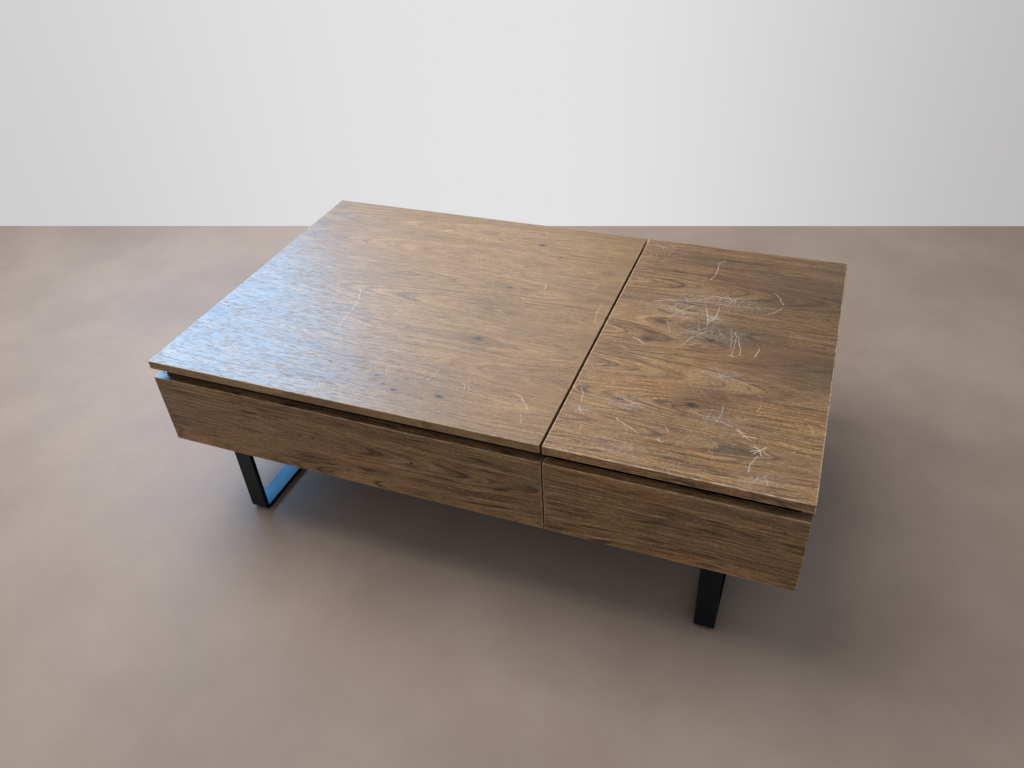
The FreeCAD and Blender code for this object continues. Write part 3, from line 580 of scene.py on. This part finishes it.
LIFT_STROKES = [
    (-350, -15, -325, -100, 4, 0.62), (-325, -100, -315, -165, -5, 0.6),
    (-315, -165, -320, -180, -1, 0.45), (-275, -285, -270, -325, 2, 0.5),
    (-160, -250, -150, -275, 1, 0.45), (-60, -230, -70, -270, 2, 0.5), (0, 60, 20, 65, -2, 0.7),
    (20, 65, 45, 60, 2, 0.75), (45, 60, 75, 75, -3, 0.7), (50, 65, 70, 80, 2, 0.55),
    (30, 120, 35, 90, 1, 0.5), (140, 150, 135, 120, -4, 0.45), (170, 80, 175, 0, -6, 0.45),
    (120, 95, 145, 105, 2, 0.4), (-290, 290, -270, 290, 0, 0.95), (-285, 280, -275, 295, 0, 0.95),
    (0, -255, 10, -270, 1, 0.5), (10, -260, 20, -275, 1, 0.45), (100, -255, 125, -275, 2, 0.75),
    (125, -275, 140, -290, -1, 0.75), (130, -305, 140, -330, 1, 0.4), (-225, -60, -230, -90, 1, 0.3),
    (-520, 310, -500, 305, 2, 0.5), (-510, 320, -495, 320, 1, 0.45), (-470, 240, -440, 235, 2, 0.3),
]

FIXED_STROKES = [
    (360, 225, 365, 295, -4, 0.8), (365, 295, 380, 315, 5, 0.85), (490, 210, 510, 175, 5, 0.95),
    (510, 175, 515, 170, 1, 0.9), (515, 160, 490, 125, 3, 0.75), (260, 115, 400, 145, 2, 0.6),
    (260, 110, 375, 150, 3, 0.5), (265, 125, 340, 130, 1, 0.45), (270, 100, 350, 115, -2, 0.4),
    (370, 165, 425, 160, 3, 0.8), (390, 150, 405, 175, 1, 0.7), (405, 175, 415, 155, 1, 0.65),
    (415, 155, 430, 175, 1, 0.6), (350, 140, 420, 170, 4, 0.6), (305, 60, 350, 120, 3, 0.75),
    (305, 50, 320, 5, 3, 0.55), (310, 70, 360, 95, 3, 0.45), (320, 45, 350, 80, -2, 0.4),
    (370, 120, 385, 55, 2, 0.9), (395, 130, 390, 75, 2, 0.9), (375, 90, 400, 80, 1, 1.0),
    (380, 70, 400, 95, 1, 1.0), (385, 65, 405, 90, 2, 0.9), (400, 80, 425, 85, 1, 0.5),
    (355, -15, 395, 40, 4, 0.65), (345, -35, 365, 20, -4, 0.5), (365, -20, 385, -10, 1, 0.6),
    (330, -10, 370, 50, 5, 0.4), (340, 15, 400, 60, -4, 0.4), (440, 50, 445, -35, 3, 0.6),
    (445, 40, 460, -30, 2, 0.7), (430, 60, 440, -20, 2, 0.4), (440, -30, 450, -35, 0, 0.85),
    (490, 5, 485, -25, 2, 1.0), (255, -25, 285, -40, 1, 0.95), (265, -25, 280, -40, 1, 0.8),
    (240, -60, 260, -70, 3, 0.4), (270, -80, 320, -90, 2, 0.45), (400, -95, 455, -100, 4, 0.6),
    (455, -100, 505, -105, -3, 0.6), (430, -105, 470, -90, 1, 0.4), (275, -210, 330, -230, 2, 0.6),
    (290, -270, 335, -295, 1, 0.95), (290, -265, 295, -270, 0, 1.0), (365, -300, 380, -305, 0, 1.0),
    (370, -295, 375, -305, 0, 0.9), (375, -265, 380, -280, 2, 0.6), (350, -275, 370, -270, 2, 0.5),
    (210, -205, 220, -245, 2, 0.75), (220, -260, 235, -275, 2, 0.65), (220, -255, 230, -275, 1, 0.6),
    (215, -270, 240, -260, 1, 0.5), (455, -180, 450, -235, 3, 0.55), (450, -225, 480, -235, 2, 0.5),
    (485, -235, 500, -255, 1, 0.95), (490, -235, 515, -260, -2, 0.8), (500, -250, 520, -250, 0, 0.9),
    (520, -265, 535, -290, 0, 1.0), (515, -285, 540, -270, 0, 1.0), (520, -290, 540, -265, 0, 1.0),
    (515, -270, 545, -285, 0, 0.95), (530, -290, 520, -335, -4, 0.85), (580, -265, 585, -265, 0, 1.0),
    (515, -165, 510, -185, 1, 0.5), (595, -190, 605, -210, 1, 0.5), (430, 40, 470, 45, 3, 0.4),
    (210, 350, 230, 345, 1, 0.7), (240, 355, 260, 350, 1, 0.6), (295, 350, 330, 350, 1, 0.5),
]

# Rubbed, dusty patches and grey ones: x, y, size.
LIFT_SCUFFS = [(-560, 300, 20.0)]
LIFT_GREYS = [
    (-60, -2, 38.0), (-40, -122, 30.0), (-95, 0, 12.0), (5, -5, 14.0), (155, -200, 13.0),
    (145, 200, 12.0), (150, 5, 10.0),
]
# The fixed top's large dark patches are partly grey veneer, partly painted shade darkening its back and
# right.
FIXED_GREYS_AND_SHADE = [
    (600, 230, 190.0), (610, -20, 130.0), (460, 30, 90.0), (440, -160, 40.0), (330, 310, 70.0),
]
FIXED_SCUFFS = [
    (335, 100, 46.0), (390, 80, 20.0), (400, 30, 42.0), (350, 150, 34.0), (430, 150, 34.0),
    (225, -260, 12.0), (300, -225, 26.0), (455, -215, 26.0), (440, -95, 24.0), (240, 345, 20.0),
    (320, -340, 24.0), (540, -345, 24.0),
]

# Flame figures of the fronts, ends and back: heart along, heart height, taper.
APRON_FLAMES = [(-640, 285, 0.058), (720, 205, 0.035)]
DRAWER_FLAMES = [(-700, 395, 0.02), (1500, 190, 0.028)]
FRONT_KNOTS = [(-260, 300, 1.6), (590, 320, 1.2)]
END_FLAMES = [(-460, 260, 0.06), (520, 300, 0.03)]
BACK_FLAMES = [(-700, 260, 0.05), (690, 290, 0.045)]

UPRIGHT_LINES = 1.6     # the upright boards' lines are darker than the tops'

# The part's axes along the grain, across it and into the board.
ALONG_X_FLAT = (0, 1, 2)
ALONG_X_UPRIGHT = (0, 2, 1)
ALONG_Y_UPRIGHT = (1, 2, 0)


def paint(material, *names):
    """Gives CAD nodes a material in place of their packed one."""
    for name in names:
        nodes[name].material_slots[0].material = material


def paint_veneer():
    paint(walnut("lift_top", ALONG_X_FLAT, TOP_FLAMES, TOP_KNOTS, LIFT_STROKES, LIFT_SCUFFS, LIFT_GREYS,
                 hairlines=0.22, lines=0.75, shade=1.15, fade=0.28, grey=0.38), "lift_top")
    # The fixed top carries painted shade in its large dark patches and a painted highlight on its pale edges.
    paint(walnut("fixed_top", ALONG_X_FLAT, TOP_FLAMES, FIXED_KNOTS, FIXED_STROKES, FIXED_SCUFFS, FIXED_GREYS_AND_SHADE,
                 hairlines=0.85, lines=1.2, shade=1.27, wear_and_highlight=1.0), "fixed_top")
    for node, flames, shade in (("front_apron", APRON_FLAMES, 1.05), ("drawer_front", DRAWER_FLAMES, 1.16)):
        paint(walnut(node, ALONG_X_UPRIGHT, flames, FRONT_KNOTS, lines=UPRIGHT_LINES, shade=shade), node)
    for node in ("end_panel_left", "end_panel_right"):
        paint(walnut(node, ALONG_Y_UPRIGHT, END_FLAMES, lines=UPRIGHT_LINES), node)
    paint(walnut("back_panel", ALONG_X_UPRIGHT, BACK_FLAMES, lines=UPRIGHT_LINES), "back_panel")


# ---------------------------------------------------------------- the other materials

# How often the patterns change, per metre. The stretched ones have a rate along each axis.
FOIL_FIBRE = (3.0, 190.0, 190.0)
FOIL_FLECK = (40.0, 900.0, 900.0)
FOIL_CLOUD = (2.0, 7.0, 7.0)
ROLLED_ALONG_Y = (700.0, 4.0, 700.0)        # the slides are rolled along their length
EVEN_FINE = (500.0, 500.0, 500.0)
EVEN = (300.0, 300.0, 300.0)
PEEL_RATE = 900.0
COAT_CLOUD_RATE = 14.0
COAT_SPECK_RATE = 260.0
BLOOM_RATE = 55.0
MOULDED_RATE = 1400.0
MOULDED_CLOUD_RATE = 90.0

# What each pattern adds to a finish's light and dark.
FOIL_SHARES = (0.6, 0.4)
PLATED_SHARES = (0.55, 0.45)

# How a pattern's noise turns into strength: noise from and to, strength from and to.
FOIL_FLECK_STRENGTH = (0.60, 0.75, 0.0, 0.3)
FOIL_ROUGHNESS = (0.3, 0.7, 0.48, 0.60)
COAT_CLOUD_STRENGTH = (0.35, 0.75, 0.0, 0.5)
COAT_SPECK_STRENGTH = (0.70, 0.78, 0.0, 1.0)
CLOUD_LOW = 0.3
CLOUD_HIGH = 0.7

# How deep each finish's texture is, in metres.
FOIL_RELIEF = 0.00005
COAT_RELIEF = 0.00003
ROLLED_RELIEF = 0.00002
MOULDED_RELIEF = 0.00003

COAT_GLOSS_PAINTED_BLUE = (0.50, 0.72, 1.0, 1.0)         # the gloss is tinted blue: a painted blue reflection of the window
DARK_FOIL = (rgb(62, 48, 40), rgb(38, 29, 25))
GREY_FOIL = (rgb(168, 160, 150), rgb(138, 129, 119))


def blend(tree, first, second, shares):
    """The sum of two patterns, each times its share."""
    return tree.math(
        "ADD", tree.math("MULTIPLY", first, shares[0]), tree.math("MULTIPLY", second, shares[1]))


def printed_board(name, colours, grain_axes):
    """Board faced with a printed wood foil: fine straight grain and a pressed texture."""
    light, dark = colours
    tree = Material(name)
    parts = tree.split(tree.place)
    grain = tree.xyz(*(parts[axis] for axis in grain_axes))
    fibre = tree.noise(tree.vector("MULTIPLY", grain, FOIL_FIBRE), 1.0, 3.0)
    fleck = tree.noise(tree.vector("MULTIPLY", grain, FOIL_FLECK))
    cloud = tree.noise(tree.vector("MULTIPLY", grain, FOIL_CLOUD))
    colour = tree.ramp(blend(tree, fibre, cloud, FOIL_SHARES), [(0.36, dark), (0.62, light)])
    colour = tree.mix(tree.ease(fleck, *FOIL_FLECK_STRENGTH), colour, dark)
    rough = tree.ease(cloud, *FOIL_ROUGHNESS)
    return tree.set(Base_Color=colour, Roughness=rough, Normal=tree.bump(fleck, FOIL_RELIEF, 0.5)).material


def powder_coat(name, colour, worn, roughness):
    """Powder-coated steel: fine orange peel, soft clouds and specks of a paler tone."""
    tree = Material(name)
    peel = tree.noise(tree.place, PEEL_RATE)
    cloud = tree.noise(tree.place, COAT_CLOUD_RATE, 3.0)
    speck = tree.ease(tree.noise(tree.place, COAT_SPECK_RATE, 1.0), *COAT_SPECK_STRENGTH)
    shade = tree.mix(tree.ease(cloud, *COAT_CLOUD_STRENGTH), colour, worn)
    shade = tree.mix(tree.math("MULTIPLY", speck, 0.30), shade, worn)
    rough = tree.ease(cloud, CLOUD_LOW, CLOUD_HIGH, roughness - 0.05, roughness + 0.08)
    # The gloss is tinted blue: a painted blue reflection.
    return tree.set(Base_Color=shade, Roughness=rough, Normal=tree.bump(peel, COAT_RELIEF, 0.5),
                    Specular_IOR_Level=0.3, Specular_Tint=COAT_GLOSS_PAINTED_BLUE).material


def plated_steel(name, light, dark, stretch, roughness):
    """Zinc-plated steel, with rolling lines along the part and faint blooms."""
    tree = Material(name)
    lines = tree.noise(tree.vector("MULTIPLY", tree.place, stretch), 1.0, 3.0)
    bloom = tree.noise(tree.place, BLOOM_RATE, 3.0, 0.65)
    colour = tree.ramp(blend(tree, lines, bloom, PLATED_SHARES), [(0.35, dark), (0.65, light)])
    rough = tree.ease(bloom, CLOUD_LOW, CLOUD_HIGH, roughness - 0.06, roughness + 0.10)
    return tree.set(Base_Color=colour, Roughness=rough, Normal=tree.bump(lines, ROLLED_RELIEF, 0.4),
                    Metallic=1.0).material


def moulded(name, light, dark, roughness):
    """Rubber or plastic with a fine moulded grain."""
    tree = Material(name)
    fine = tree.noise(tree.place, MOULDED_RATE)
    cloud = tree.noise(tree.place, MOULDED_CLOUD_RATE)
    colour = tree.ramp(cloud, [(0.35, dark), (0.7, light)])
    rough = tree.ease(cloud, CLOUD_LOW, CLOUD_HIGH, roughness - 0.05, roughness + 0.05)
    return tree.set(Base_Color=colour, Roughness=rough, Normal=tree.bump(fine, MOULDED_RELIEF, 0.5)).material


def paint_boards():
    paint(printed_board("inner_board_flat", DARK_FOIL, ALONG_X_FLAT), "storage_bottom", "cabinet_bottom")
    paint(printed_board("inner_board_across", DARK_FOIL, ALONG_X_UPRIGHT),
          "storage_wall_front", "storage_wall_back", "cabinet_wall_back", "cabinet_rail_front")
    paint(printed_board("inner_board_deep", DARK_FOIL, ALONG_Y_UPRIGHT),
          "storage_wall_left", "storage_wall_right", "cabinet_wall_left", "cabinet_wall_right")
    paint(printed_board("drawer_board_deep", GREY_FOIL, ALONG_Y_UPRIGHT),
          "drawer_side_left", "drawer_side_right")
    paint(printed_board("drawer_board_across", GREY_FOIL, ALONG_X_UPRIGHT),
          "drawer_inner_front", "drawer_back")
    paint(printed_board("drawer_floor_board", GREY_FOIL, ALONG_X_FLAT), "drawer_bottom")


def paint_steel():
    # The legs' gloss carries a painted blue reflection of the window.
    paint(powder_coat("leg_black", rgb(3, 6, 12), rgb(10, 14, 22), 0.32),
          "leg_left", "leg_right", "leg_rail_left", "leg_rail_right")
    paint(powder_coat("arm_grey", rgb(52, 53, 56), rgb(74, 75, 78), 0.40),
          "hinge_base_left", "hinge_base_right", "rear_arm_left", "rear_arm_right", "front_arm_left",
          "front_arm_right", "top_bracket_left", "top_bracket_right", "sync_bar", "spring_hubs")
    paint(plated_steel("slide_zinc", rgb(205, 206, 208), rgb(160, 162, 166), ROLLED_ALONG_Y, 0.32),
          "slide_outer_left", "slide_outer_right", "slide_middle_left", "slide_middle_right",
          "slide_inner_left", "slide_inner_right")
    paint(plated_steel("screw_zinc", rgb(200, 196, 184), rgb(150, 146, 134), EVEN_FINE, 0.30),
          "leg_screws", "hinge_base_screws", "top_bracket_screws", "fixed_top_screws", "drawer_front_screws",
          "slide_outer_screws", "slide_inner_screws", "module_connectors", "lower_pivot_pins",
          "upper_pivot_pins", "arm_stops")
    paint(plated_steel("spring_wire", rgb(120, 121, 124), rgb(78, 79, 82), EVEN, 0.35),
          "torsion_spring_left", "torsion_spring_right")


def paint_plastic():
    paint(moulded("pad_rubber", rgb(44, 44, 45), rgb(26, 26, 27), 0.75), "bumper_pads")
    paint(moulded("glide_plastic", rgb(46, 46, 47), rgb(28, 28, 29), 0.50), "floor_glides")
    paint(moulded("washer_nylon", rgb(214, 210, 198), rgb(188, 184, 172), 0.45),
          "lower_spacers", "upper_spacers")


# ---------------------------------------------------------------- studio

FLOOR_HALF = 9.0
WALL_HEIGHT = 4.0
WALL_FOOT = (-0.57, 1.04)       # a place under the wall
WALL_HEADING = 14.96            # degrees from +X to the wall's foot line

# Painted light: the wall glows by its own emission, brightest in its middle. The glow brightens and dims
# between these places along X.
WALL_PAINTED_LIGHT_RISES = (-2.4, -0.6)
WALL_PAINTED_LIGHT_FALLS = (-0.3, 1.3)

LIT_PLACE = (-0.3, 0.0, cad_high[2])
# Soft lights: heading and height in degrees, distance, size, power, colour.
WINDOW_LIGHT = (148.0, 33.0, 2.8, (1.5, 1.5), 99.0, (0.16, 0.55, 1.0))
SOFT_LIGHTS = {
    "bright_side": (114.0, 34.0, 3.0, (1.6, 1.4), 20.0, (1.0, 0.95, 0.88)),
    "near_side": (178.0, 50.0, 1.9, (1.1, 1.1), 15.0, (1.0, 0.93, 0.84)),
    "overhead": (170.0, 76.0, 3.0, (2.4, 2.4), 43.0, (1.0, 0.94, 0.87)),
}
ROOM_COLOUR = (0.97, 0.98, 1.0, 1.0)
ROOM_LIGHT = 0.32

CAMERA_PLACE = (0.554, -1.311, 1.2985)
CAMERA_HEADING = 23.43      # degrees to the left of straight towards the table's back
CAMERA_DOWN = 37.57         # degrees below level
CAMERA_ROLL = -3.88         # the horizon leans a little
CAMERA_LENS = 28.8
CAMERA_SENSOR = 36.0
CAMERA_NEAR = 0.05


def sheet_object(name, corners, material):
    mesh = bpy.data.meshes.new(name)
    mesh.from_pydata(corners, [], [(0, 1, 2, 3)])
    made = bpy.data.objects.new(name, mesh)
    made.data.materials.append(material)
    bpy.context.scene.collection.objects.link(made)
    return made


def soft_box(name, heading, height, distance, size, power, colour):
    """An area light seen from the lit place at a heading from +X and a height, both in degrees."""
    turn = math.radians(heading)
    lift = math.radians(height)
    back = Vector((math.cos(turn) * math.cos(lift), math.sin(turn) * math.cos(lift), math.sin(lift)))
    light = bpy.data.lights.new(name, "AREA")
    light.shape = "RECTANGLE"
    light.size, light.size_y = size
    light.energy = power
    light.color = colour
    lamp = bpy.data.objects.new(name, light)
    lamp.location = Vector(LIT_PLACE) + back * distance
    lamp.rotation_euler = back.to_track_quat("Z", "Y").to_euler()
    bpy.context.scene.collection.objects.link(lamp)
    return lamp


def floor_material():
    """Pale stone-like floor, a little cloudy."""
    tree = Material("studio_floor")
    cloud = tree.noise(tree.place, 2.2, 5.0, 0.6)
    fine = tree.noise(tree.place, 60.0, 3.0)
    colour = tree.mix(tree.ease(cloud, 0.3, 0.7), rgb(166, 149, 139), rgb(182, 166, 156))
    rough = tree.ease(cloud, 0.3, 0.7, 0.50, 0.62)
    return tree.set(Base_Color=colour, Roughness=rough, Specular_IOR_Level=0.25,
                    Normal=tree.bump(fine, 0.0002, 0.3)).material


def wall_material():
    """Wall that glows by its own emission, with painted light brightest in the middle. Only its front face
    shows, so the table can be seen from behind.
    """
    tree = Material("studio_wall")
    across = tree.split(tree.place)[0]
    # Painted light: the glow is brighter in the middle and dimmer at both sides.
    colour = tree.mix(tree.ease(across, *WALL_PAINTED_LIGHT_RISES), rgb(207, 205, 206), rgb(228, 226, 227))
    colour = tree.mix(tree.ease(across, *WALL_PAINTED_LIGHT_FALLS), colour, rgb(188, 186, 187))
    back = tree.node("ShaderNodeNewGeometry").outputs["Backfacing"]
    return tree.set(Base_Color=rgb(0, 0, 0), Roughness=1.0, Specular_IOR_Level=0.0, Emission_Color=colour,
                    Emission_Strength=1.0, Alpha=tree.math("SUBTRACT", 1.0, back)).material


def make_floor():
    floor_z = cad_low[2]
    sheet_object("studio_floor", [
        (-FLOOR_HALF, -FLOOR_HALF, floor_z), (FLOOR_HALF, -FLOOR_HALF, floor_z),
        (FLOOR_HALF, FLOOR_HALF, floor_z), (-FLOOR_HALF, FLOOR_HALF, floor_z)], floor_material())


def make_wall():
    """The wall only shows to the camera: it neither lights nor shades the table."""
    turn = math.radians(WALL_HEADING)
    reach = Vector((math.cos(turn), math.sin(turn), 0.0)) * FLOOR_HALF
    foot = Vector((*WALL_FOOT, cad_low[2]))
    top = Vector((0.0, 0.0, WALL_HEIGHT))
    wall = sheet_object("studio_wall", [foot - reach, foot + reach, foot + reach + top, foot - reach + top],
                        wall_material())
    for ray in ("visible_diffuse", "visible_glossy", "visible_transmission", "visible_shadow"):
        setattr(wall, ray, False)


def make_lights():
    # The window only shows as a blue gloss.
    soft_box("window", *WINDOW_LIGHT).visible_diffuse = False
    for name, light in SOFT_LIGHTS.items():
        soft_box(name, *light)
    world = bpy.data.worlds.new("studio")
    world.use_nodes = True
    background = world.node_tree.nodes["Background"]
    background.inputs["Color"].default_value = ROOM_COLOUR
    background.inputs["Strength"].default_value = ROOM_LIGHT
    bpy.context.scene.world = world


def make_camera():
    data = bpy.data.cameras.new("camera")
    data.lens = CAMERA_LENS
    data.sensor_width = CAMERA_SENSOR
    data.clip_start = CAMERA_NEAR
    camera = bpy.data.objects.new("camera", data)
    down = math.radians(90.0 - CAMERA_DOWN)
    heading = Euler((down, 0.0, math.radians(CAMERA_HEADING))).to_matrix()
    roll = Matrix.Rotation(math.radians(CAMERA_ROLL), 3, "Z")
    camera.matrix_world = Matrix.Translation(CAMERA_PLACE) @ (heading @ roll).to_4x4()
    bpy.context.scene.collection.objects.link(camera)
    bpy.context.scene.camera = camera


paint_veneer()
paint_boards()
paint_steel()
paint_plastic()
make_floor()
make_wall()
make_lights()
make_camera()
bpy.context.scene.view_settings.view_transform = "Standard"
